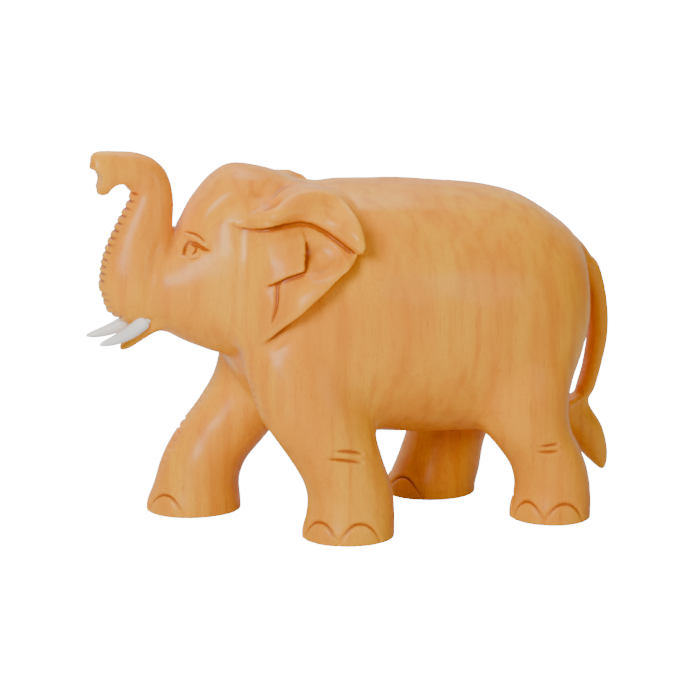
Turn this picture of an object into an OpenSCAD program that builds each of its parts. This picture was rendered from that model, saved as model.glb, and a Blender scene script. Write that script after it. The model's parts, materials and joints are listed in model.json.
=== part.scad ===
// A carved wooden elephant, trunk raised, walking. It faces -X and stands on z = 0.
// The origin is on the ground, under the middle of the elephant's outer box.
// The body, head, ears, legs and tail are one block of wood. Two tusks are glued in.

/* [Overall] */
// Length from the trunk's tip to the tail
overall_length = 150; // [120:1:180]
// Breadth of the barrel at its widest
barrel_breadth = 62; // [54:1:66]
// Height of the back above the ground
back_height = 93.4; // [88:0.2:96]

/* [Legs] */
// Distance across between the front soles' centres
front_track = 44; // [40:1:48]
// Distance across between the rear soles' centres
rear_track = 39; // [34:1:42]

/* [Head] */
// How far the ears stand proud of the shoulder
ear_proud = 3.6; // [2:0.2:5]
// Height of the forehead's dome above the ground
dome_height = 99.8; // [97:0.2:102]

/* [Tusks] */
// Diameter of a tusk where it leaves the mouth
tusk_diameter = 3.8; // [3:0.1:4.4]
// Diameter of the round peg that holds a tusk
peg_diameter = 2.6; // [2:0.1:3]
// Length of the peg inside the mouth
peg_length = 7; // [5:0.5:8]
// Room for glue round the peg and at the bottom of its socket
glue_gap = 0.1; // [0.05:0.05:0.2]

/* [Hidden] */
wood = [0.89, 0.62, 0.30];
ivory_white = [0.94, 0.92, 0.86];

// Corners round each ring of the barrel, a leg and a thin part
barrel_sides = 32;
leg_sides = 24;
thin_sides = 20;
tusk_sides = 16;
tusk_rings = 10;
// Corners of a drilled hole or a peg
round_sides = 48;
// Rings made between two neighbouring stations
between = 2;
// How square the head's and the barrel's sections are; 2 is an ellipse
squareness = 2.15;

half = barrel_breadth / 2;

// Barrel: place along X, underside, widest height, top, half breadth
barrel_stations = [
    [-40, 52, 66, 84, 13],
    [-35, 42, 62, 88, half - 9],
    [-27, 33, 58, 91, half - 4.5],
    [-17, 28, 57, back_height - 1.2, half - 2],
    [-5, 25.4, 57, back_height, half - 0.3],
    [9, 24, 57, back_height, half],
    [23, 22.8, 56.5, back_height - 1.2, half],
    [36, 22.8, 55.5, back_height - 2.8, half - 1],
    [46, 23.8, 55, back_height - 5.5, half - 3],
    [54, 24.5, 56, back_height - 10, half - 6.5],
    [60, 36.5, 57, back_height - 14.4, half - 11.5],
    [63.6, 45, 58, back_height - 18.6, half - 18],
    [65.4, 52, 59, back_height - 22.4, 7]
];

// Head: place along X, underside, widest height, top, half breadth
head_stations = [
    [-66, 62, 66, 70, 4.5],
    [-62.5, 59.6, 66, 73, 8],
    [-58.5, 57.4, 66, 77, 10.4],
    [-54.5, 55.2, 66, 80.4, 12.2],
    [-51, 53, 67, 83.6, 13.6],
    [-47.5, 51.5, 67, 89.2, 15],
    [-43.5, 49.8, 67, 94.5, 17.2],
    [-39.5, 48.5, 67, dome_height - 1.6, 19],
    [-35, 47.5, 66, dome_height, 20.5],
    [-28.5, 46.5, 65, dome_height - 1.7, 21.5],
    [-21, 48, 64, dome_height - 4.6, 21],
    [-12, 52, 64, dome_height - 7.4, 17]
];

// Trunk, from its tip down to the head: place along X, height, half thickness, half breadth, lean of the section in degrees
trunk_stations = [
    [-75, 99.3, 5.5, 2.6, 0],
    [-72.5, 99.4, 5.6, 3, 0],
    [-68.5, 99.6, 5, 3.5, 0],
    [-63.5, 99.3, 4.7, 4.1, 8],
    [-59.6, 97, 4.8, 4.5, 60],
    [-58.8, 91.5, 5.6, 5, 100],
    [-61, 84.5, 7.5, 6, 100],
    [-63.5, 77.5, 9.8, 7.2, 78],
    [-62.6, 70, 12.5, 9, 47],
    [-54, 67.5, 12, 10.4, 8],
    [-47, 67, 12, 10, 0]
];

// Legs: height, place along X, place along Y, half length, half breadth
front_y = front_track / 2;
rear_y = rear_track / 2;
left_front_stations = [
    [-3, -11.2, front_y, 12.9, 12.2],
    [1, -11.2, front_y, 12.8, 12.2],
    [6, -10.4, front_y - 0.2, 12.2, 11.4],
    [11, -10.2, front_y - 0.5, 11.7, 10.9],
    [16, -11.5, front_y - 0.7, 11.9, 10.9],
    [22, -14.2, front_y - 1, 12.6, 11],
    [28, -17.2, front_y - 1.5, 14, 11.5],
    [34, -19.9, front_y - 2.5, 14.9, 12],
    [42, -22, front_y - 4, 15.2, 12.5],
    [50, -23.4, front_y - 6, 15, 12.5],
    [60, -23, front_y - 9, 12, 11]
];
right_front_stations = [
    [-3, -41.6, front_y, 14, 12.2],
    [1, -41.2, front_y, 13.7, 12.2],
    [4, -40.8, front_y, 12.9, 11.9],
    [9, -40, front_y - 0.2, 11.9, 11.2],
    [14.5, -38.2, front_y - 0.5, 12.1, 11],
    [19.5, -34.5, front_y - 0.8, 13.2, 11],
    [25, -30.2, front_y - 1.2, 14.2, 11.3],
    [32, -24.7, front_y - 2, 14, 11.8],
    [39, -21, front_y - 3, 14, 12.3],
    [47, -20, front_y - 5, 14, 12.5],
    [58, -20, front_y - 9, 12, 11]
];
left_rear_stations = [
    [-3, 48.7, rear_y + 0.6, 11.2, 12],
    [1, 48.8, rear_y + 0.6, 11.2, 12],
    [4, 49.3, rear_y + 0.6, 11, 11.9],
    [8, 49.8, rear_y + 0.5, 10.4, 11.3],
    [12, 49.3, rear_y + 0.5, 10.3, 11.1],
    [16, 48, rear_y + 0.5, 10.6, 11.2],
    [21, 45, rear_y + 0.3, 11.3, 11.4],
    [26, 41.8, rear_y, 12.1, 11.9],
    [33, 40.3, rear_y - 1, 14, 12.5],
    [42, 41, rear_y - 2.5, 15.3, 13],
    [53, 41, rear_y - 6, 13, 12]
];
right_rear_stations = [
    [-3, 28, rear_y - 1, 12.5, 12],
    [1, 28.3, rear_y - 1, 12.8, 12.1],
    [4, 29, rear_y - 1, 13, 12.2],
    [6.5, 30.2, rear_y - 1, 12.6, 11.9],
    [10.5, 31.4, rear_y - 1, 11.9, 11.4],
    [15, 32.8, rear_y - 1, 11.6, 11.2],
    [20, 34.6, rear_y - 1, 12, 11.4],
    [26, 36.6, rear_y - 1.3, 13.2, 12],
    [34, 37.5, rear_y - 1.8, 15, 12.5],
    [43, 38.5, rear_y - 3, 15.5, 13],
    [53, 39, rear_y - 6, 13, 12]
];

// Tail, from the tuft's tip up to the rump: height, place along X, place along Y, half thickness, half breadth
tail_stations = [
    [5.5, 74.5, 0, 0.6, 0.8],
    [8.5, 73.3, 0, 2.2, 2.2],
    [12, 71.6, 0, 3.9, 3.4],
    [16, 69.6, 0, 5.2, 4.1],
    [20.5, 66.7, 0, 6.5, 4.4],
    [24, 62, 0, 8.9, 4.3],
    [26.5, 61, 0, 8.6, 4.2],
    [29, 66.6, 0, 2.4, 4.2],
    [32, 68.5, 0, 1.2, 4.2],
    [37, 70, 0, 1.2, 4.2],
    [44, 71.5, 0, 1.4, 4.2],
    [50, 71.9, 0, 1.5, 4.2],
    [55, 71.6, 0, 1.5, 4.2],
    [60, 70.7, 0, 1.6, 4.2],
    [65, 69, 0, 1.9, 4.2],
    [69, 66.5, 0, 2.8, 4.2],
    [73, 62.9, 0, 3.6, 4.2],
    [77, 58, 0, 4, 4]
];

// Lower lip, from its point up to the jaw: height, place along X, place along Y, half thickness, half breadth
lip_stations = [
    [50.4, -68.8, 0, 0.5, 0.8],
    [51.6, -67.2, 0, 1.9, 2.8],
    [54.5, -64, 0, 2.7, 4.6],
    [58, -59, 0, 4.2, 5.6],
    [62, -52, 0, 6, 6]
];

// Ear outline seen from the side: place along X, height
ear_outline = [
    [-42, 84],
    [-36, 88.8],
    [-31, 91.4],
    [-27.1, 93.7],
    [-23.3, 95],
    [-19.6, 95.3],
    [-16.3, 94.9],
    [-13.8, 94],
    [-11.9, 92],
    [-10.4, 89],
    [-9.5, 86.1],
    [-9.2, 83.1],
    [-9.2, 80],
    [-10.2, 77.4],
    [-12.2, 75.5],
    [-16.6, 72],
    [-26.2, 63.8],
    [-34, 55.6],
    [-36.6, 52.2],
    [-39.4, 52.2],
    [-42, 58]
];
// How far from the middle of the neck an ear begins
ear_root = 9;
// Ear's outer face: place along X, underside, widest height, top, half breadth
ear_face_stations = [
    [-48, 50, 66, 88, 15.5],
    [-40, 42, 64, 95, half - 12],
    [-34, 40, 62, 98.5, half - 8 + ear_proud],
    [-26, 36, 60, 99.5, half - 5.4 + ear_proud],
    [-16, 31, 59, 99.5, half - 3 + ear_proud],
    [-4, 28, 58, 97, half - 0.8 + ear_proud]
];

// Right tusk's root: the middle of the shoulder between the peg and the tusk
tusk_root = [-62.3, 4.7, 59.3];
// How far a tusk turns outwards and dips below level at its root, in degrees
tusk_turn = 9;
tusk_dip = 38;
// Length of a tusk along its root's direction, and how far it curves up out of it
tusk_reach = 13.6;
tusk_rise = 4;
// Length of the wide mouth of the socket, which is drilled from outside
socket_mouth = 6;

// A Catmull-Rom curve through four neighbouring stations
function blend(a, b, c, d, t) =
    0.5 * (2 * b + (c - a) * t + (2 * a - 5 * b + 4 * c - d) * t * t
        + (3 * b - a - 3 * c + d) * t * t * t);

// All stations with smooth ones added between them
function smooth(rows) =
    let (last = len(rows) - 1)
    [for (i = [0:last], k = [0:(i < last ? between - 1 : 0)])
        i == last ? rows[last]
        : blend(rows[max(i - 1, 0)], rows[i], rows[i + 1], rows[min(i + 2, last)], k / between)];

// A cosine or sine pushed outwards, which makes a section squarer than an ellipse
function pushed(v) = sign(v) * pow(abs(v), 2 / squareness);

// An upright section across the body from [x, underside, widest height, top, half breadth]
function upright_ring(row) =
    [for (j = [0:barrel_sides - 1])
        let (a = 360 * j / barrel_sides)
        [row[0], row[4] * pushed(cos(a)),
            row[2] + (sin(a) > 0 ? row[3] - row[2] : row[2] - row[1]) * pushed(sin(a))]];

// A level section from [height, x, y, half length, half breadth]
function level_ring(row, sides) =
    [for (j = [0:sides - 1])
        let (a = 360 * j / sides)
        [row[1] + row[3] * cos(a), row[2] + row[4] * sin(a), row[0]]];

// A leaning section from [x, height, half thickness, half breadth, lean]
function leaning_ring(row, sides) =
    [for (j = [0:sides - 1])
        let (a = 360 * j / sides)
        [row[0] + row[2] * sin(row[4]) * sin(a), row[3] * cos(a),
            row[1] + row[2] * cos(row[4]) * sin(a)]];

// A closed skin over a row of rings
module skin(rings) {
    sides = len(rings[0]);
    last = len(rings) - 1;
    start_cap = [for (j = [1:sides - 2]) [0, j, j + 1]];
    end_cap = [for (j = [1:sides - 2]) [last * sides, last * sides + j + 1, last * sides + j]];
    walls = [for (i = [0:last - 1], j = [0:sides - 1])
        let (a = i * sides + j, b = i * sides + (j + 1) % sides)
        each [[a, a + sides, b], [b, a + sides, b + sides]]];
    polyhedron(points = [for (ring = rings) each ring], faces = concat(start_cap, walls, end_cap));
}

module upright_form(stations) {
    skin([for (row = smooth(stations)) upright_ring(row)]);
}

module level_form(stations, sides) {
    skin([for (row = smooth(stations)) level_ring(row, sides)]);
}

module trunk_form() {
    skin([for (row = smooth(trunk_stations)) leaning_ring(row, thin_sides)]);
}

module ear_form() {
    intersection() {
        upright_form(ear_face_stations);
        translate([0, -ear_root, 0])
            rotate([90, 0, 0])
                linear_extrude(height = barrel_breadth)
                    polygon(ear_outline);
    }
}

module rough_carving() {
    upright_form(barrel_stations);
    upright_form(head_stations);
    trunk_form();
    level_form(lip_stations, thin_sides);
    level_form(tail_stations, thin_sides);
    mirror([0, 1, 0]) level_form(left_front_stations, leg_sides);
    level_form(right_front_stations, leg_sides);
    mirror([0, 1, 0]) level_form(left_rear_stations, leg_sides);
    level_form(right_rear_stations, leg_sides);
    ear_form();
    mirror([0, 1, 0]) ear_form();
}

// Puts a thing that points along +Z from the origin at the left tusk's root, pointing forwards
module at_tusk() {
    translate([tusk_root[0], -tusk_root[1], tusk_root[2]])
        rotate([0, 0, tusk_turn])
            rotate([0, -90 - tusk_dip, 0])
                children();
}

// The peg's hole, and the wider hole that the tusk's shoulder seats in
module tusk_socket() {
    at_tusk() {
        translate([0, 0, -peg_length - glue_gap])
            cylinder(d = peg_diameter + 2 * glue_gap, h = peg_length + socket_mouth, $fn = round_sides);
        cylinder(d = tusk_diameter + 4 * glue_gap, h = socket_mouth, $fn = round_sides);
    }
}

module carved_body() {
    color(wood)
        difference() {
            resize([overall_length, 0, 0], auto = true) rough_carving();
            translate([-overall_length, -overall_length, -overall_length])
                cube([2 * overall_length, 2 * overall_length, overall_length]);
            tusk_socket();
            mirror([0, 1, 0]) tusk_socket();
        }
}

module tusk() {
    at_tusk() {
        translate([0, 0, -peg_length])
            cylinder(d = peg_diameter, h = peg_length + tusk_diameter, $fn = round_sides);
        skin([for (k = [0:tusk_rings])
            let (t = k / tusk_rings, r = tusk_diameter / 2 * sqrt(1 - 0.98 * t * t))
            level_ring([t * tusk_reach, tusk_rise * t * t, 0, r, r], tusk_sides)]);
    }
}

module tusk_left() {
    color(ivory_white) tusk();
}

module tusk_right() {
    color(ivory_white) mirror([0, 1, 0]) tusk();
}

carved_body();
tusk_left();
tusk_right();
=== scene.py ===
"""Looks of the carved wooden elephant.

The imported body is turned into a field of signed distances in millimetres, softened so that its
parts flow into each other, and carved with the fine knife work. The result is meshed, and stands
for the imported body. The two tusks are made the same way.
"""

import json
import math

import bpy
import numpy as np
import openvdb as vdb
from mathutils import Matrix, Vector


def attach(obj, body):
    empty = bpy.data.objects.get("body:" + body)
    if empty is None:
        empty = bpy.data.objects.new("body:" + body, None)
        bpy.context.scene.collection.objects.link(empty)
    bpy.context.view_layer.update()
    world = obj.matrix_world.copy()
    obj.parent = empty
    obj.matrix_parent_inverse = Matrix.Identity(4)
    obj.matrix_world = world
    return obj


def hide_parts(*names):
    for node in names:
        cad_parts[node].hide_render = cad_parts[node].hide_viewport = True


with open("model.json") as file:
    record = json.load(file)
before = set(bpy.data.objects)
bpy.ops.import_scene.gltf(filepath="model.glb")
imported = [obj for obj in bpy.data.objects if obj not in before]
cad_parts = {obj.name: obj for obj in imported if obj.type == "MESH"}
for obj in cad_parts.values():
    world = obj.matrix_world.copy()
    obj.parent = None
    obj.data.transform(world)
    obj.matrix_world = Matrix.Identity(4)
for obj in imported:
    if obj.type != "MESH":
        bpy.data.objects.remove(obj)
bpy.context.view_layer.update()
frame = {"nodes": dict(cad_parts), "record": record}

MM = 0.001
CELL = 0.4
ROUGH_CELL = 2 * CELL
MARGIN = 4.0
HOLLOW_REACH, HOLLOW_FULL = 0.9, 0.3
SOLE_SECTION = 2.4
BODY_TRIANGLES, TUSK_TRIANGLES = 190000, 12000
LEFT, RIGHT = -1, 1


# ---------------------------------------------------------------- fields


def soften(field, sigma, axes=(0, 1, 2)):
    """A Gaussian blur along some of the axes, with sigma in cells."""
    reach = int(3 * sigma + 0.5)
    taps = np.exp(-0.5 * (np.arange(-reach, reach + 1) / sigma) ** 2)
    taps /= taps.sum()
    for axis in axes:
        widths = [(reach, reach) if a == axis else (0, 0) for a in range(field.ndim)]
        padded = np.pad(field, widths, mode="edge")
        out = np.zeros_like(field)
        for k, tap in enumerate(taps):
            part = [slice(None)] * field.ndim
            part[axis] = slice(k, k + field.shape[axis])
            out += np.float32(tap) * padded[tuple(part)]
        field = out
    return field


def soften_flat(field, sigma):
    """The same blur along X and Z only, for a block or for a flat map of X and Z."""
    return soften(field, sigma, (0, field.ndim - 1))


def doubled(field):
    """The same field on a grid of half the cell."""
    for axis in range(3):
        moved = np.moveaxis(field, axis, 0)
        out = np.empty((2 * moved.shape[0] - 1,) + moved.shape[1:], np.float32)
        out[0::2] = moved
        out[1::2] = 0.5 * (moved[:-1] + moved[1:])
        field = np.moveaxis(out, 0, axis)
    return np.ascontiguousarray(field)


def step_up(value, low, high):
    """0 below low and 1 above high, smooth between them."""
    t = np.clip((value - low) / (high - low), 0.0, 1.0)
    return t * t * (3.0 - 2.0 * t)


def joined(a, b, blend):
    """The union of two solids, with a fillet."""
    h = np.maximum(blend - np.abs(a - b), 0.0) / blend
    return np.minimum(a, b) - h * h * blend * 0.25


def common(a, b, blend):
    """The overlap of two solids, with a rounded edge."""
    return -joined(-a, -b, blend)


def triangles_of(mesh):
    mesh.calc_loop_triangles()
    corners = np.empty(3 * len(mesh.loop_triangles), np.int32)
    mesh.loop_triangles.foreach_get("vertices", corners)
    return corners.reshape(-1, 3)


def points_of(obj):
    """The object's vertices in millimetres."""
    flat = np.empty(3 * len(obj.data.vertices), np.float32)
    obj.data.vertices.foreach_get("co", flat)
    turn = np.array(obj.matrix_world)
    return (flat.reshape(-1, 3) @ turn[:3, :3].T + turn[:3, 3]) / MM


class Carving:
    """A solid held as signed distances on a grid, in millimetres."""

    def __init__(self, obj, cell, band):
        points = points_of(obj)
        self.cell = cell
        self.start = np.floor((points.min(0) - MARGIN) / cell).astype(int)
        end = np.ceil((points.max(0) + MARGIN) / cell).astype(int)
        self.low = self.start * cell
        grid = vdb.FloatGrid.createLevelSetFromPolygons(
            np.ascontiguousarray(points, np.float32),
            triangles=np.ascontiguousarray(triangles_of(obj.data), np.uint32),
            transform=vdb.createLinearTransform(voxelSize=cell),
            halfWidth=band / cell,
        )
        self.field = np.zeros(tuple(end - self.start), np.float32)
        grid.copyToArray(self.field, ijk=tuple(int(v) for v in self.start))

    def refine(self):
        self.field = doubled(self.field)
        self.cell /= 2
        self.start = self.start * 2

    def axes(self, part=(slice(None),) * 3):
        """The cells' places along X, Y and Z, ready to combine."""
        x, y, z = (self.low[i] + self.cell * np.arange(self.field.shape[i]) for i in range(3))
        return x[part[0], None, None], y[None, part[1], None], z[None, None, part[2]]

    def near(self, points, room):
        """The part of the grid within room of the points."""
        points = np.asarray(points, float)
        first = np.floor((points.min(0) - room - self.low) / self.cell).astype(int)
        last = np.ceil((points.max(0) + room - self.low) / self.cell).astype(int) + 1
        return tuple(
            slice(max(int(a), 0), min(int(b), n)) for a, b, n in zip(first, last, self.field.shape)
        )

    def value(self, points):
        """The field at any points, between the cells by straight lines."""
        at = (np.atleast_2d(points) - self.low) / self.cell
        at = np.clip(at, 0, np.array(self.field.shape) - 1.001)
        base = at.astype(int)
        part = at - base
        out = np.zeros(len(at))
        for dx in (0, 1):
            for dy in (0, 1):
                for dz in (0, 1):
                    corner = self.field[base[:, 0] + dx, base[:, 1] + dy, base[:, 2] + dz]
                    weight = (
                        (part[:, 0] if dx else 1 - part[:, 0])
                        * (part[:, 1] if dy else 1 - part[:, 1])
                        * (part[:, 2] if dz else 1 - part[:, 2])
                    )
                    out += corner * weight
        return out

    def touch(self, start, direction, reach=60.0):
        """Where a ray from outside first meets the surface."""
        direction = np.asarray(direction, float)
        direction = direction / np.linalg.norm(direction)
        steps = np.arange(0.0, reach, 0.5 * self.cell)
        line = np.asarray(start, float) + steps[:, None] * direction
        values = self.value(line)
        inside = np.nonzero(values < 0)[0]
        if len(inside) == 0:
            return line[int(np.argmin(values))]
        k = max(int(inside[0]), 1)
        t = values[k - 1] / (values[k - 1] - values[k])
        return line[k - 1] + t * (line[k] - line[k - 1])

    def beside(self, side, x, z):
        """The point on the left or right flank at this place seen from the side."""
        return self.touch((x, side * 40.0, z), (0, -side, 0), 39.0)

    def distance_to_path(self, path, radii, part):
        """Signed distance from the cells to a round bar along the path, with a radius at each point."""
        x, y, z = self.axes(part)
        best = None
        for a, b, ra, rb in zip(path[:-1], path[1:], radii[:-1], radii[1:]):
            along = b - a
            length = max(float(along @ along), 1e-9)
            t = ((x - a[0]) * along[0] + (y - a[1]) * along[1] + (z - a[2]) * along[2]) / length
            t = np.clip(t, 0.0, 1.0)
            gap = np.sqrt(
                (x - a[0] - t * along[0]) ** 2
                + (y - a[1] - t * along[1]) ** 2
                + (z - a[2] - t * along[2]) ** 2
            ) - (ra + t * (rb - ra))
            best = gap if best is None else np.minimum(best, gap)
        return best

    def normal(self, points, reach=1.5):
        """The way out of the solid at any points."""
        points = np.atleast_2d(points)
        step = reach * self.cell * np.eye(3)
        slope = np.stack([self.value(points + d) - self.value(points - d) for d in step], axis=1)
        return slope / np.maximum(np.linalg.norm(slope, axis=1, keepdims=True), 1e-9)

    def carve(self, points, radius, depth, blend=0.2, fade=0.6):
        """Runs a round gouge along points on the surface, sinking in and coming out at the ends."""
        points = np.asarray(points, float)
        t = np.linspace(0.0, 1.0, len(points))
        sink = depth * np.sin(math.pi * np.clip(t, 0.02, 0.98)) ** fade
        path = points + self.normal(points) * (radius - sink)[:, None]
        part = self.near(path, radius + blend + 2 * self.cell)
        bar = self.distance_to_path(path, np.full(len(path), radius), part)
        self.field[part] = common(self.field[part], -bar, blend)

    def cut_path(self, path, radii, blend=0.25):
        """Cuts a round groove along a path."""
        path = np.asarray(path, float)
        part = self.near(path, max(radii) + blend + 2 * self.cell)
        bar = self.distance_to_path(path, radii, part)
        self.field[part] = common(self.field[part], -bar, blend)

    def add_path(self, path, radii, blend=0.6):
        """Adds a round bead along a path."""
        path = np.asarray(path, float)
        part = self.near(path, max(radii) + blend + 2 * self.cell)
        bar = self.distance_to_path(path, radii, part)
        self.field[part] = joined(self.field[part], bar, blend)

    def piece(self, name, triangles):
        """A mesh of the surface in metres, with its normals and hollows taken from the field; the hollows
        drive painted shade in the grooves.
        """
        grid = vdb.FloatGrid()
        limit = 3.0 * self.cell
        grid.copyFromArray(np.ascontiguousarray(np.clip(self.field, -limit, limit)))
        points, _, quads = grid.convertToPolygons(isovalue=0.0, adaptivity=0.0)
        points = points * self.cell + self.low
        mesh = bpy.data.meshes.new(name)
        mesh.from_pydata((points * MM).tolist(), [], quads.tolist())
        obj = bpy.data.objects.new(name, mesh)
        bpy.context.scene.collection.objects.link(obj)
        if 2 * len(quads) > triangles:
            thin = obj.modifiers.new("thin", "DECIMATE")
            thin.ratio = triangles / (2 * len(quads))
            seen = obj.evaluated_get(bpy.context.evaluated_depsgraph_get())
            mesh = bpy.data.meshes.new_from_object(seen)
            mesh.name = name
            obj.modifiers.clear()
            obj.data = mesh
        flat = np.empty(3 * len(mesh.vertices), np.float32)
        mesh.vertices.foreach_get("co", flat)
        points = flat.reshape(-1, 3) / MM
        mesh.shade_smooth()
        mesh.normals_split_custom_set_from_vertices(self.normal(points, 1.0).tolist())
        # How hollow each place is, which the material uses to paint shade into the grooves
        hollow = -self.blurred(HOLLOW_REACH).value(points) / HOLLOW_FULL
        layer = mesh.attributes.new("hollow", "FLOAT", "POINT")
        layer.data.foreach_set("value", np.clip(0.5 + 0.5 * hollow, 0, 1).astype(np.float32))
        return obj

    def blurred(self, sigma):
        """A copy with its field blurred, with sigma in millimetres."""
        other = object.__new__(Carving)
        other.cell, other.start, other.low = self.cell, self.start, self.low
        limit = 4 * sigma
        other.field = soften(np.clip(self.field, -limit, limit), sigma / self.cell)
        return other


# ---------------------------------------------------------------- outlines seen from the side


def rounded(points, steps=6, closed=False):
    """A Catmull-Rom curve through the points."""
    points = np.asarray(points, float)
    count = len(points)
    out = []
    for i in range(count if closed else count - 1):
        if closed:
            a, b, c, d = (points[(i + k) % count] for k in (-1, 0, 1, 2))
        else:
            a, b, c, d = (points[min(max(i + k, 0), count - 1)] for k in (-1, 0, 1, 2))
        for k in range(steps):
            t = k / steps
            out.append(
                0.5
                * (
                    2 * b
                    + (c - a) * t
                    + (2 * a - 5 * b + 4 * c - d) * t * t
                    + (3 * b - a - 3 * c + d) * t**3
                )
            )
    if not closed:
        out.append(points[-1])
    return np.array(out)


def line_distance(x, z, path):
    """Distance from (x, z) to a path, and on which side of it: positive to its left."""
    best = np.full(np.broadcast(x, z).shape, 1e9)
    side = np.zeros_like(best)
    for a, b in zip(path[:-1], path[1:]):
        along = b - a
        t = np.clip(((x - a[0]) * along[0] + (z - a[1]) * along[1]) / (along @ along), 0.0, 1.0)
        dx, dz = x - a[0] - t * along[0], z - a[1] - t * along[1]
        gap = np.hypot(dx, dz)
        closer = gap < best
        best = np.where(closer, gap, best)
        side = np.where(closer, np.sign(along[0] * dz - along[1] * dx), side)
    return best, side


def outline_distance(x, z, outline):
    """Signed distance to a closed outline, negative inside."""
    loop = np.vstack([outline, outline[:1]])
    gap, _ = line_distance(x, z, loop)
    inside = np.zeros(gap.shape, bool)
    for a, b in zip(loop[:-1], loop[1:]):
        crosses = (a[1] > z) != (b[1] > z)
        rise = b[1] - a[1] if b[1] != a[1] else 1e-9
        inside ^= crosses & (x < a[0] + (z - a[1]) * (b[0] - a[0]) / rise)
    return np.where(inside, -gap, gap)


# ---------------------------------------------------------------- the carving

# The left ear seen from the side, as (X, Z) in millimetres
EAR_TOP = [
    (-40, 86.5), (-35.5, 88.6), (-31, 90.9), (-27.1, 93.2), (-23.3, 94.5), (-19.6, 94.8), (-16.5, 94.4),
    (-14.1, 93.5), (-12.3, 91.7), (-10.9, 88.9), (-10.1, 86.1), (-9.8, 83.1), (-9.7, 80.5),
]  # fmt: skip
EAR_LOW = [
    (-10.6, 77.9), (-12.4, 76.0), (-16.8, 72.6), (-21.9, 68.6), (-26.5, 64.5), (-30.5, 60.2),
    (-34.2, 56.1), (-36.4, 52.8),
]  # fmt: skip
EAR_FRONT = [(-40, 47), (-60, 47), (-60, 80)]
EAR_OUTLINE = np.vstack([rounded(EAR_TOP), rounded(EAR_LOW), EAR_FRONT])
EAR_FOLD = rounded(
    [
        (-39.5, 85.4), (-37.7, 85.0), (-35.8, 84.9), (-33.8, 85.2), (-31.3, 85.8), (-28.2, 86.3),
        (-25.8, 86.5), (-23.5, 86.5), (-21.2, 86.0), (-19.0, 84.9), (-16.7, 83.3), (-14.4, 81.3),
        (-12.4, 79.5), (-10.4, 78.1),
    ]
)  # fmt: skip
EAR_FLAP = np.array(
    [
        (-45, 88), (-24.5, 85.2), (-24.0, 82.6), (-24.2, 79.6), (-25.4, 74.4), (-29.9, 72.9),
        (-33.1, 71.2), (-45, 68),
    ]
)  # fmt: skip
EAR_CREASE = [(-31.9, 71.4), (-32.4, 68.5), (-33.1, 64.7), (-34.2, 60.3)]
CHEEK_LINE = [(-37.7, 83.2), (-37.9, 78.9), (-38.4, 72.7), (-38.6, 65.7), (-37.8, 59.3), (-36.8, 54.5)]


def shape_body(body):
    """Softens the body's facets, fills the creases round legs and belly, and rounds up the top."""
    x, y, z = body.axes()
    sole = int(np.argmin(np.abs(z[0, 0] - SOLE_SECTION)))
    body.field[:, :, :sole] = body.field[:, :, sole : sole + 1]
    sharp = soften(body.field, 1.0 / body.cell) - 0.1
    full = soften(body.field, 3.4 / body.cell)
    off_ear = step_up(outline_distance(x[:, 0, :], z[:, 0, :], EAR_OUTLINE), 1.0, 7.0)[:, None, :]
    flesh = step_up(z, 17.0, 30.0) * (1 - step_up(z, 58.0, 70.0)) * (1 - step_up(x, 56.0, 62.0))
    flesh = flesh * step_up(x, -36.0, -26.0) * off_ear
    fuller = 0.5 * step_up(z, 78.0, 92.0) * (1 + 1.0 * np.exp(-(((x + 8.0) / 9.0) ** 2)))
    crest = 0.8 * step_up(z, 90.0, 96.0) * (1 - step_up(np.abs(y), 7.0, 13.0))
    fuller = fuller + crest * np.exp(-(((x + 24.0) / 7.0) ** 2))
    body.field = (sharp + (full - 0.25 - sharp) * flesh - fuller).astype(np.float32)


def carried_on(block, mask, x, z, sigma, cell):
    """Carries the part of a block inside the mask on past it, by fitting a plane around each cell."""
    reach = sigma / cell
    mask = mask.astype(np.float32)
    scale = 1.0 / sigma
    u, w = (x * scale).astype(np.float32), (z * scale).astype(np.float32)

    def spread(values):
        return soften_flat(values, reach)

    def lift(flat):
        return flat[:, None, :]

    m0, mu, mw = spread(mask), spread(mask * u), spread(mask * w)
    muu, muw, mww = spread(mask * u * u), spread(mask * u * w), spread(mask * w * w)
    m0 = m0 + 1e-5
    au, aw = mu / m0, mw / m0
    suu = muu / m0 - au * au + 0.03
    sww = mww / m0 - aw * aw + 0.03
    suw = muw / m0 - au * aw
    det = suu * sww - suw * suw
    value = block * lift(mask)
    f0 = spread(value) / lift(m0)
    fu = spread(value * lift(u)) / lift(m0) - f0 * lift(au)
    fw = spread(value * lift(w)) / lift(m0) - f0 * lift(aw)
    slope_u = (fu * lift(sww) - fw * lift(suw)) / lift(det)
    slope_w = (fw * lift(suu) - fu * lift(suw)) / lift(det)
    return f0 + slope_u * lift(u - au) + slope_w * lift(w - aw)


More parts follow.
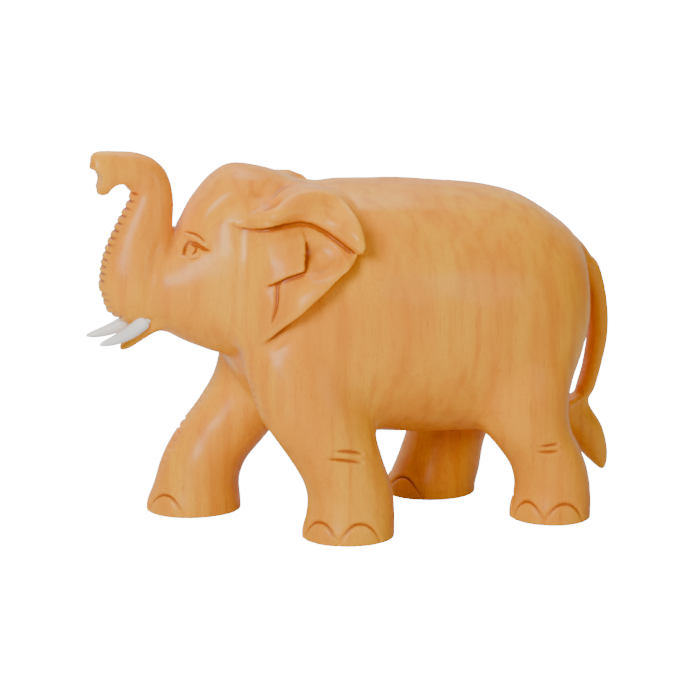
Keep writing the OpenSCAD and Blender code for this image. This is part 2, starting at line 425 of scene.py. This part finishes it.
def carve_ear(body, side):
    """Gives one ear its crisp edge, its rolled top lobe, its bowl and its inner flap."""
    corners = [(x, y, z) for x in (-52, 0) for y in (side * 3, side * 37) for z in (44, 103)]
    part = body.near(corners, 0)
    x, y, z = body.axes(part)
    flat_x, flat_z = np.broadcast_arrays(x[:, 0, :], z[:, 0, :])
    edge = outline_distance(flat_x, flat_z, EAR_OUTLINE)
    block = body.field[part]
    u, w = flat_x + 25.0, flat_z - 72.0
    ground = carried_on(block, edge > 2.4, u, w, 3.4, body.cell)
    ground = ground + (block - ground) * step_up(edge, 2.8, 4.2)[:, None, :]
    plate = carried_on(block, edge < -2.6, u, w, 2.6, body.cell)
    plate = plate + (block - plate) * (1 - step_up(edge, -4.2, -2.8))[:, None, :]

    # the ear stands clear of the shoulder behind and below, and flows into the cheek in front
    top_behind = step_up(flat_x, -38.5, -33.0) * step_up(flat_z, 84.0, 87.0)
    behind = np.maximum(step_up(flat_x, -41.0, -27.0), top_behind)
    proud = 3.9 * behind * (1 - 0.35 * step_up(flat_z, 86.0, 93.0))
    near_edge = 1 - step_up(-edge, 0.5, 9.0)
    lift = np.maximum(plate - (ground - proud[:, None, :]), 0.0)
    lift = soften_flat(lift.astype(np.float32), 1.2 / body.cell) * near_edge[:, None, :]
    plate = plate - lift * (edge < 4.0)[:, None, :]

    relief = ear_relief(flat_x, flat_z, edge)
    plate = plate + relief[:, None, :]
    cut = common(plate, np.broadcast_to(edge[:, None, :], plate.shape), 0.8)
    foot = 0.8 * np.exp(-((np.maximum(edge, 0) / 1.4) ** 2)) * (1 - 0.4 * step_up(flat_z, 84.0, 92.0))
    foot = foot * step_up(flat_x, -36.0, -24.0) + 12.0 * step_up(-edge, 1.0, 4.0)
    whole = joined(cut, ground + foot[:, None, :], 0.25)
    plain = block + (relief * (edge < 0))[:, None, :]
    aside = behind[:, None, :] * step_up(np.abs(y), 6.0, 11.0)
    body.field[part] = plain + (whole - plain) * aside
    body.carve(on_flank(body, side, EAR_CREASE), 0.7, 0.75, 0.15, 0.5)
    body.carve(on_flank(body, side, CHEEK_LINE), 4.0, 0.22, 1.0)


def ear_relief(x, z, edge):
    """How much deeper than its plain face the ear is carved at each place."""
    fold_gap, fold_side = line_distance(x, z, EAR_FOLD)
    above = fold_gap * fold_side
    below = np.maximum(-above, 0)
    back = step_up(x, -39.0, -30.0)
    bowl = (0.9 + 1.3 * back) * np.exp(-below / 6.0) * (1 - step_up(above, -0.3, 0.25))
    dish = 3.0 * (1 - step_up(np.hypot((x + 20.0) / 8.2, (z - 77.4) / 8.4), 0.1, 1.1))
    flap = outline_distance(x, z, EAR_FLAP)
    dish = dish * step_up(flap, -0.15, 0.25) * (1 - step_up(above, -0.6, 0.2))
    lower = 1.1 * np.exp(-((np.maximum(flap, 0) / 3.5) ** 2)) * step_up(flap, -0.15, 0.25)
    lower = lower * step_up(x, -36.0, -33.0)
    deep = np.maximum(np.maximum(bowl, dish), lower)
    flap_rise = 1.1 * (1 - step_up(flap, -0.3, 0.3)) * step_up(x, -37.0, -28.0)
    flap_rise = flap_rise * (1 - step_up(above, -5.0, -0.5))
    roll = 1.1 * np.exp(-(((above - 2.6) / 2.6) ** 2)) * step_up(above, -0.15, 0.6) * step_up(x, -40.0, -30.0)
    rim = 0.5 * np.exp(-((np.minimum(edge, 0) / 1.5) ** 2)) * (above < 0) * step_up(x, -34.0, -24.0)
    fade = step_up(x, -44.5, -37.5)
    return (deep - roll - flap_rise - rim) * fade


def on_flank(body, side, points, steps=5):
    """A smooth curve laid on the left or right flank, from points seen from the side."""
    return np.array([body.beside(side, x, z) for x, z in rounded(points, steps)])


# Each cut of the eye: its points seen from the side, and the gouge's radius and depth
EYE_STROKES = [
    ([(-50.9, 82.9), (-49.4, 82.7), (-48.4, 81.9), (-47.6, 80.9)], 0.5, 0.55),
    ([(-50.9, 80.9), (-50.4, 80.4), (-49.9, 80.0), (-49.4, 80.2), (-48.1, 79.2), (-46.8, 78.8)], 0.55, 0.85),
    ([(-51.0, 80.7), (-51.8, 79.0), (-52.5, 77.4)], 0.5, 0.8),
    ([(-49.4, 79.7), (-49.8, 78.4), (-50.9, 77.7)], 0.45, 0.7),
    ([(-52.5, 77.2), (-51.2, 76.6), (-49.8, 77.2), (-48.9, 78.5)], 0.5, 0.5),
]


def carve_eye(body, side):
    """A shallow socket, a raised lid, and the cuts round and in the eye."""
    body.carve(on_flank(body, side, [(-53.0, 78.2), (-50.6, 79.4), (-48.0, 79.8)]), 4.0, 0.7, 0.5)
    lid = on_flank(body, side, [(-50.9, 82.0), (-49.3, 81.6), (-47.7, 80.1)])
    body.add_path(lid, np.full(len(lid), 0.5), 0.5)
    for points, radius, depth in EYE_STROKES:
        body.carve(on_flank(body, side, points), radius, depth, 0.12, 0.4)


def carve_head(body, side):
    """The two hollow planes of the temple, and the shallow valley where the trunk begins."""
    body.carve(on_flank(body, side, [(-47.0, 85.5), (-43.2, 89.8), (-38.8, 93.4)]), 6.0, 0.9, 0.2, 0.9)
    body.carve(on_flank(body, side, [(-34.2, 95.4), (-33.2, 93.2), (-32.6, 91.2)]), 5.0, 0.6, 0.3)
    valley = [(-58.5, 80.5), (-60.3, 76.5), (-61.8, 72.0), (-62.4, 67.0)]
    body.carve(on_flank(body, side, valley), 2.2, 0.4, 0.6)


def shift_far_ear(body):
    """The right ear's top lobe is lower in front and higher behind than the left one's."""
    edge = [(-37.0, 14.0), (-31.0, 14.5), (-25.0, 15.0), (-20.5, 15.0)]
    rows = [body.touch((x, y, 112.0), (0, 0, -1), 40.0) for x, y in edge]
    body.carve(rounded(rows, 5), 7.0, 2.2, 1.5, 0.5)
    lobe = [(-17.0, 17.0, 92.4), (-14.0, 17.3, 92.5), (-11.2, 17.2, 91.7), (-9.6, 16.8, 90.4)]
    body.add_path(lobe, [1.2, 1.7, 1.6, 1.2], 2.6)


def across(body, point, half_width, radius, depth):
    """Cuts a straight notch along Y over a front edge."""
    x, y, z = point
    rows = []
    for dy in np.linspace(-half_width, half_width, 9):
        rows.append(body.touch((x - 8.0, y + dy, z), (1, 0, 0), 30.0))
    body.carve(rows, radius, depth, 0.12, 0.5)


NOTCHES, NOTCH_TOP, NOTCH_STEP = 13, 93.2, 1.92
LOW_NOTCH_ANGLES = (200, 214, 228, 242, 256)


def carve_trunk(body):
    """Cuts the notches down the trunk's front and round its bend, and shapes its two-lobed tip."""
    for k in range(NOTCHES):
        z = NOTCH_TOP - k * NOTCH_STEP
        front = body.touch((-95.0, 0.0, z), (1, 0, 0), 60.0)
        across(body, front, 3.2, 0.45, 0.8)
    for angle in LOW_NOTCH_ANGLES:
        way = np.array([math.cos(math.radians(angle)), 0.0, math.sin(math.radians(angle))])
        rows = []
        for dy in np.linspace(-4.0, 4.0, 9):
            middle = np.array([-66.0, dy, 69.0])
            rows.append(body.touch(middle + 25 * way, -way, 25.0))
        body.carve(rows, 0.6, 0.6, 0.15, 0.4)
    body.cut_path([(-80.6, -8, 94.6), (-80.6, 8, 94.6)], [7.2, 7.2], 0.3)
    body.add_path([(-67.0, 0, 98.0), (-70.2, 0, 95.6), (-71.8, 0, 94.1)], [3.4, 2.3, 0.9], 1.4)
    body.cut_path([(-75.3, -8, 97.4), (-75.3, 8, 97.4)], [2.6, 2.6], 0.3)
    body.cut_path([(-67.6, -8, 92.9), (-67.6, 8, 92.9)], [3.0, 3.0], 0.5)
    for y in (-1.1, 1.1):
        body.cut_path([(-76.0, y, 101.6), (-72.0, y, 101.0)], [0.6, 0.4], 0.3)


# Each foot's side, and the directions of its nails round the foot in degrees from straight ahead
FEET = {
    "sole_left_front": (-1, (-32, 28, 88)),
    "sole_right_front": (1, (-32, 28, 88)),
    "sole_left_rear": (-1, (-28, 30, 88)),
    "sole_right_rear": (1, (-28, 30, 88)),
}
NAIL_BOTTOM, NAIL_TOP, NAIL_HALF_WIDTH = 0.7, 6.0, 5.5
FOOT_RADIUS = 10.5


def carve_nails(body, centre, side, angles):
    """Cuts the arches of the nails round the front and the outer side of a foot."""
    for middle in angles:
        rows = []
        for t in np.linspace(-1.0, 1.0, 17):
            z = NAIL_BOTTOM + (NAIL_TOP - NAIL_BOTTOM) * (1 - abs(t) ** 2.3)
            way = math.radians(middle) + t * NAIL_HALF_WIDTH / FOOT_RADIUS
            out = np.array([-math.cos(way), side * math.sin(way), 0.0])
            start = np.array([centre[0], centre[1], z]) + 22.0 * out
            rows.append(body.touch(start, -out, 22.0))
        body.carve(rows, 0.55, 0.6, 0.15, 0.25)


# The cuts above each knee, seen from the side
KNEE_LINES = {
    LEFT: [
        [(-18.6, 26.1), (-14.0, 25.7), (-9.6, 24.7)],
        [(-20.6, 24.0), (-15.4, 23.4), (-9.8, 22.3)],
        [(41.0, 22.4), (44.2, 22.6), (47.2, 23.0)],
        [(40.4, 20.8), (44.0, 20.8), (47.3, 21.0)],
    ],
    RIGHT: [
        [(-47.5, 26.6), (-43.4, 25.4), (-39.0, 24.8)],
        [(-48.5, 24.4), (-43.8, 23.1), (-39.6, 22.5)],
        [(22.0, 22.4), (25.2, 22.6), (28.2, 23.0)],
        [(21.4, 20.8), (25.0, 20.8), (28.3, 21.0)],
    ],
}


def carve_legs(body):
    """Cuts the nails, the lines above the knees and the fine notches down the front edges."""
    for mount in frame["record"]["mounts"]:
        side, angles = FEET[mount["name"]]
        carve_nails(body, np.array(mount["pos_m"]) / MM, side, angles)
    for side, lines in KNEE_LINES.items():
        for points in lines:
            body.carve(on_flank(body, side, points), 0.6, 0.65, 0.12, 0.7)
    for y, top, bottom in ((-19.0, 49.0, 33.0), (20.0, 45.0, 14.0)):
        for z in np.arange(bottom, top, 2.1):
            front = body.touch((-70.0, y, z), (1, 0, 0), 70.0)
            across(body, front, 1.6, 0.45, 0.3)


# The middle of the hanging part of the tail
TAIL = [
    (69.6, 0, 64.0), (71.2, 0, 58.0), (71.9, 0, 50.0), (71.5, 0, 44.0), (70.0, 0, 37.0),
    (68.8, 0, 33.0),
]  # fmt: skip
TAIL_GROWTH = 0.9


def carve_tail(body):
    """Makes the tail a stout strap, and cuts two strands into its tuft."""
    part = body.near(TAIL, 6.0)
    gap = body.distance_to_path(np.array(TAIL, float), np.zeros(len(TAIL)), part)
    body.field[part] -= TAIL_GROWTH * (1 - step_up(gap, 3.0, 5.5))
    for strand in (((-1.6, 31), (-0.6, 27), (0.4, 22)), ((1.8, 29), (1.6, 25), (1.0, 20))):
        rows = [body.touch((90, y, z), (-1, 0, 0), 40.0) for y, z in strand]
        body.carve(rows, 0.5, 0.5, 0.2)


def hand_worked(body):
    """The slow unevenness that a knife and sanding leave."""
    x, y, z = body.axes()
    wave = (
        np.sin(0.31 * x + 0.8) * np.sin(0.27 * z + 1.9)
        + np.sin(0.43 * y + 0.4) * np.sin(0.19 * x + 0.23 * z)
        + 0.6 * np.sin(0.67 * z + 0.35 * x + 2.0) * np.sin(0.51 * y + 1.1)
    )
    body.field = (body.field + 0.06 * wave).astype(np.float32)


def carve_body(body):
    """All the knife work, and last the flat soles."""
    hand_worked(body)
    for side in (LEFT, RIGHT):
        carve_ear(body, side)
        carve_head(body, side)
        carve_eye(body, side)
    shift_far_ear(body)
    carve_trunk(body)
    carve_legs(body)
    carve_tail(body)
    z = body.axes()[2]
    body.field = common(body.field, np.broadcast_to(-z, body.field.shape), 0.5).astype(np.float32)


def place(obj, node, material):
    """Hangs a finished piece on the frame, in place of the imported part."""
    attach(obj, "root")
    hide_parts(node)
    obj.data.materials.append(material)


BODY_BAND = 12.0

body = Carving(frame["nodes"]["carved_body"], ROUGH_CELL, BODY_BAND)
shape_body(body)
body.refine()
body.field = soften(body.field, 1.0)
carve_body(body)
elephant = body.piece("carved_elephant", BODY_TRIANGLES)
print("elephant faces", len(elephant.data.polygons))


# ---------------------------------------------------------------- materials


def new_material(name):
    material = bpy.data.materials.new(name)
    material.use_nodes = True
    tree = material.node_tree
    return material, tree, tree.nodes["Principled BSDF"]


def noise(tree, vector, scale, detail=2.0, roughness=0.5):
    node = tree.nodes.new("ShaderNodeTexNoise")
    node.inputs["Scale"].default_value = scale
    node.inputs["Detail"].default_value = detail
    node.inputs["Roughness"].default_value = roughness
    tree.links.new(vector, node.inputs["Vector"])
    return node.outputs["Fac"]


def stretched(tree, vector, scale, turn=(0, 0, 0)):
    node = tree.nodes.new("ShaderNodeMapping")
    node.inputs["Scale"].default_value = scale
    node.inputs["Rotation"].default_value = turn
    tree.links.new(vector, node.inputs["Vector"])
    return node.outputs["Vector"]


def between(tree, value, low, high, to_low=0.0, to_high=1.0):
    node = tree.nodes.new("ShaderNodeMapRange")
    node.interpolation_type = "SMOOTHSTEP"
    for name, number in (("From Min", low), ("From Max", high), ("To Min", to_low), ("To Max", to_high)):
        node.inputs[name].default_value = number
    tree.links.new(value, node.inputs["Value"])
    return node.outputs["Result"]


def mixed(tree, factor, first, second, kind="MIX"):
    """Mixes two colours, each a socket or plain numbers."""
    node = tree.nodes.new("ShaderNodeMix")
    node.data_type, node.blend_type = "RGBA", kind
    tree.links.new(factor, node.inputs["Factor"])
    for name, colour in (("A", first), ("B", second)):
        socket = next(i for i in node.inputs if i.name == name and i.type == "RGBA")
        if isinstance(colour, tuple):
            socket.default_value = colour
        else:
            tree.links.new(colour, socket)
    return next(o for o in node.outputs if o.type == "RGBA")


PALE_WOOD = (0.93, 0.385, 0.003, 1)
WARM_WOOD = (0.89, 0.295, 0.0015, 1)
DEEP_WOOD = (0.74, 0.20, 0.002, 1)
DARK_GRAIN = (0.55, 0.125, 0.001, 1)
# Painted shade for the grooves and hollows, not a colour of the wood itself
GROOVE_SHADE = (0.40, 0.075, 0.0005, 1)
WHITE_TUSK = (0.93, 0.92, 0.88, 1)
YELLOW_TUSK = (0.90, 0.87, 0.79, 1)


def wood_material():
    """Pale fine-grained wood with upright grain, stained honey orange, under a clear lacquer, with painted
    shade darkening its grooves and hollows.
    """
    material, tree, shader = new_material("lacquered_wood")
    nodes, links = tree.nodes, tree.links
    place_at = nodes.new("ShaderNodeTexCoord").outputs["Object"]
    blotches = between(tree, noise(tree, stretched(tree, place_at, (60, 60, 26)), 1.0, 3.0), 0.35, 0.68)
    colour = mixed(tree, blotches, PALE_WOOD, WARM_WOOD)
    bands = noise(tree, stretched(tree, place_at, (330, 240, 12), (0.0, 0.08, 0.4)), 1.0, 3.0)
    colour = mixed(tree, between(tree, bands, 0.42, 0.72, 0.0, 0.55), colour, DEEP_WOOD)
    streaks = noise(tree, stretched(tree, place_at, (2600, 2600, 75)), 1.0, 3.0, 0.6)
    colour = mixed(tree, between(tree, streaks, 0.52, 0.8, 0.0, 0.5), colour, DARK_GRAIN)
    pores = noise(tree, stretched(tree, place_at, (5200, 5200, 420)), 1.0, 1.0)
    pore_mask = between(tree, pores, 0.66, 0.78)
    colour = mixed(tree, between(tree, pores, 0.64, 0.78, 0.0, 0.5), colour, DARK_GRAIN)
    hollow = nodes.new("ShaderNodeAttribute")
    hollow.attribute_name = "hollow"
    # Painted shade: grooves and hollows are darkened toward the groove shade colour, where shade falls
    colour = mixed(tree, between(tree, hollow.outputs["Fac"], 0.56, 0.95, 0.0, 0.9), colour, GROOVE_SHADE)
    colour = mixed(tree, between(tree, hollow.outputs["Fac"], 0.42, 0.1, 0.0, 0.35), colour, PALE_WOOD)
    links.new(colour, shader.inputs["Base Color"])
    links.new(between(tree, blotches, 0.0, 1.0, 0.38, 0.48), shader.inputs["Roughness"])
    shader.inputs["Specular IOR Level"].default_value = 0.15
    shader.inputs["Coat Weight"].default_value = 0.18
    shader.inputs["Coat Roughness"].default_value = 0.26
    bump = nodes.new("ShaderNodeBump")
    bump.inputs["Strength"].default_value = 0.25
    bump.inputs["Distance"].default_value = 0.00005
    bump.invert = True
    links.new(pore_mask, bump.inputs["Height"])
    links.new(bump.outputs["Normal"], shader.inputs["Normal"])
    return material


def tusk_material():
    """White resin, a little yellower and duller in slow patches."""
    material, tree, shader = new_material("white_tusk")
    place_at = tree.nodes.new("ShaderNodeTexCoord").outputs["Object"]
    patches = between(tree, noise(tree, stretched(tree, place_at, (150, 150, 300)), 1.0, 2.0), 0.4, 0.7)
    tree.links.new(mixed(tree, patches, WHITE_TUSK, YELLOW_TUSK), shader.inputs["Base Color"])
    tree.links.new(between(tree, patches, 0.0, 1.0, 0.25, 0.35), shader.inputs["Roughness"])
    shader.inputs["Coat Weight"].default_value = 0.3
    shader.inputs["Coat Roughness"].default_value = 0.15
    return material


TUSK_CELL, TUSK_BAND, TUSK_GROWTH = 0.15, 1.5, 0.1

place(elephant, "carved_body", wood_material())
white = tusk_material()
for node, name in (("tusk_left", "left_tusk"), ("tusk_right", "right_tusk")):
    tusk = Carving(frame["nodes"][node], TUSK_CELL, TUSK_BAND)
    tusk.field = soften(tusk.field, 1.5) - TUSK_GROWTH
    place(tusk.piece(name, TUSK_TRIANGLES), node, white)


# ---------------------------------------------------------------- floor, lights, camera

FLOOR_HALF = 3.0
CAMERA_WHITE = 16.0
TENT_DIM, TENT_BACK = 0.18, 1.2
# Name, place, diameter and power of each soft light, in metres and watts
LIGHTS = [
    ("overhead", (0.05, 0.2, 0.75), 0.5, 4.5),
    ("key", (-0.6, -0.6, 0.42), 0.35, 8.8),
    ("fill", (0.45, -0.8, 0.3), 0.4, 1.9),
]
LIGHT_AIM = (0, 0, 0.05)


def camera_glow(tree, socket, others, camera):
    """Sets a strength for what the camera sees, and another for what lights the elephant."""
    path = tree.nodes.new("ShaderNodeLightPath")
    strength = tree.nodes.new("ShaderNodeMapRange")
    strength.inputs["To Min"].default_value = others
    strength.inputs["To Max"].default_value = camera
    tree.links.new(path.outputs["Is Camera Ray"], strength.inputs["Value"])
    tree.links.new(strength.outputs["Result"], socket)


def make_floor():
    """A white floor, a little glossy, that the camera sees as bright as white paper."""
    mesh = bpy.data.meshes.new("floor")
    corners = [(FLOOR_HALF * i, FLOOR_HALF * j, 0) for i, j in ((-1, -1), (1, -1), (1, 1), (-1, 1))]
    mesh.from_pydata(corners, [], [(0, 1, 2, 3)])
    floor = bpy.data.objects.new("floor", mesh)
    bpy.context.scene.collection.objects.link(floor)
    material, tree, shader = new_material("pale_floor")
    shader.inputs["Base Color"].default_value = (0.6, 0.6, 0.6, 1)
    shader.inputs["Roughness"].default_value = 0.2
    shader.inputs["Emission Color"].default_value = (1, 1, 1, 1)
    camera_glow(tree, shader.inputs["Emission Strength"], 0.0, CAMERA_WHITE)
    mesh.materials.append(material)


def make_light(name, spot, size, power):
    """A round soft light aimed at the elephant's middle."""
    data = bpy.data.lights.new(name, "AREA")
    data.shape = "DISK"
    data.size = size
    data.energy = power
    light = bpy.data.objects.new(name, data)
    light.location = spot
    light.rotation_euler = (Vector(LIGHT_AIM) - Vector(spot)).to_track_quat("-Z", "Y").to_euler()
    bpy.context.scene.collection.objects.link(light)


def make_camera():
    """A long lens from the elephant's front left, a little above it."""
    azimuth, elevation, distance = math.radians(-20.0), math.radians(11.4), 0.9
    aim = Vector((-2.5 * MM, 0, 46.5 * MM))
    back = Vector(
        (
            math.sin(azimuth) * math.cos(elevation),
            -math.cos(azimuth) * math.cos(elevation),
            math.sin(elevation),
        )
    )
    data = bpy.data.cameras.new("camera")
    data.sensor_width = 36.0
    data.lens = 169.0
    data.clip_start = 0.01
    camera = bpy.data.objects.new("camera", data)
    camera.location = aim + distance * back
    camera.rotation_euler = (-back).to_track_quat("-Z", "Y").to_euler()
    bpy.context.scene.collection.objects.link(camera)
    bpy.context.scene.camera = camera


def make_world():
    """A white tent: dim all round, and brighter behind and above, for pale edges on the lacquer."""
    world = bpy.data.worlds.new("tent")
    world.use_nodes = True
    tree = world.node_tree
    background = tree.nodes["Background"]
    background.inputs["Color"].default_value = (1, 1, 1, 1)
    path = tree.nodes.new("ShaderNodeLightPath")
    way = tree.nodes.new("ShaderNodeSeparateXYZ")
    tree.links.new(tree.nodes.new("ShaderNodeTexCoord").outputs["Generated"], way.inputs["Vector"])
    behind = between(tree, way.outputs["Y"], 0.1, 0.9, TENT_DIM, TENT_BACK)
    strength = tree.nodes.new("ShaderNodeMix")
    strength.data_type = "FLOAT"
    tree.links.new(path.outputs["Is Camera Ray"], strength.inputs[0])
    tree.links.new(behind, strength.inputs[2])
    strength.inputs[3].default_value = CAMERA_WHITE
    tree.links.new(strength.outputs[0], background.inputs["Strength"])
    bpy.context.scene.world = world


make_floor()
make_world()
for light in LIGHTS:
    make_light(*light)
make_camera()
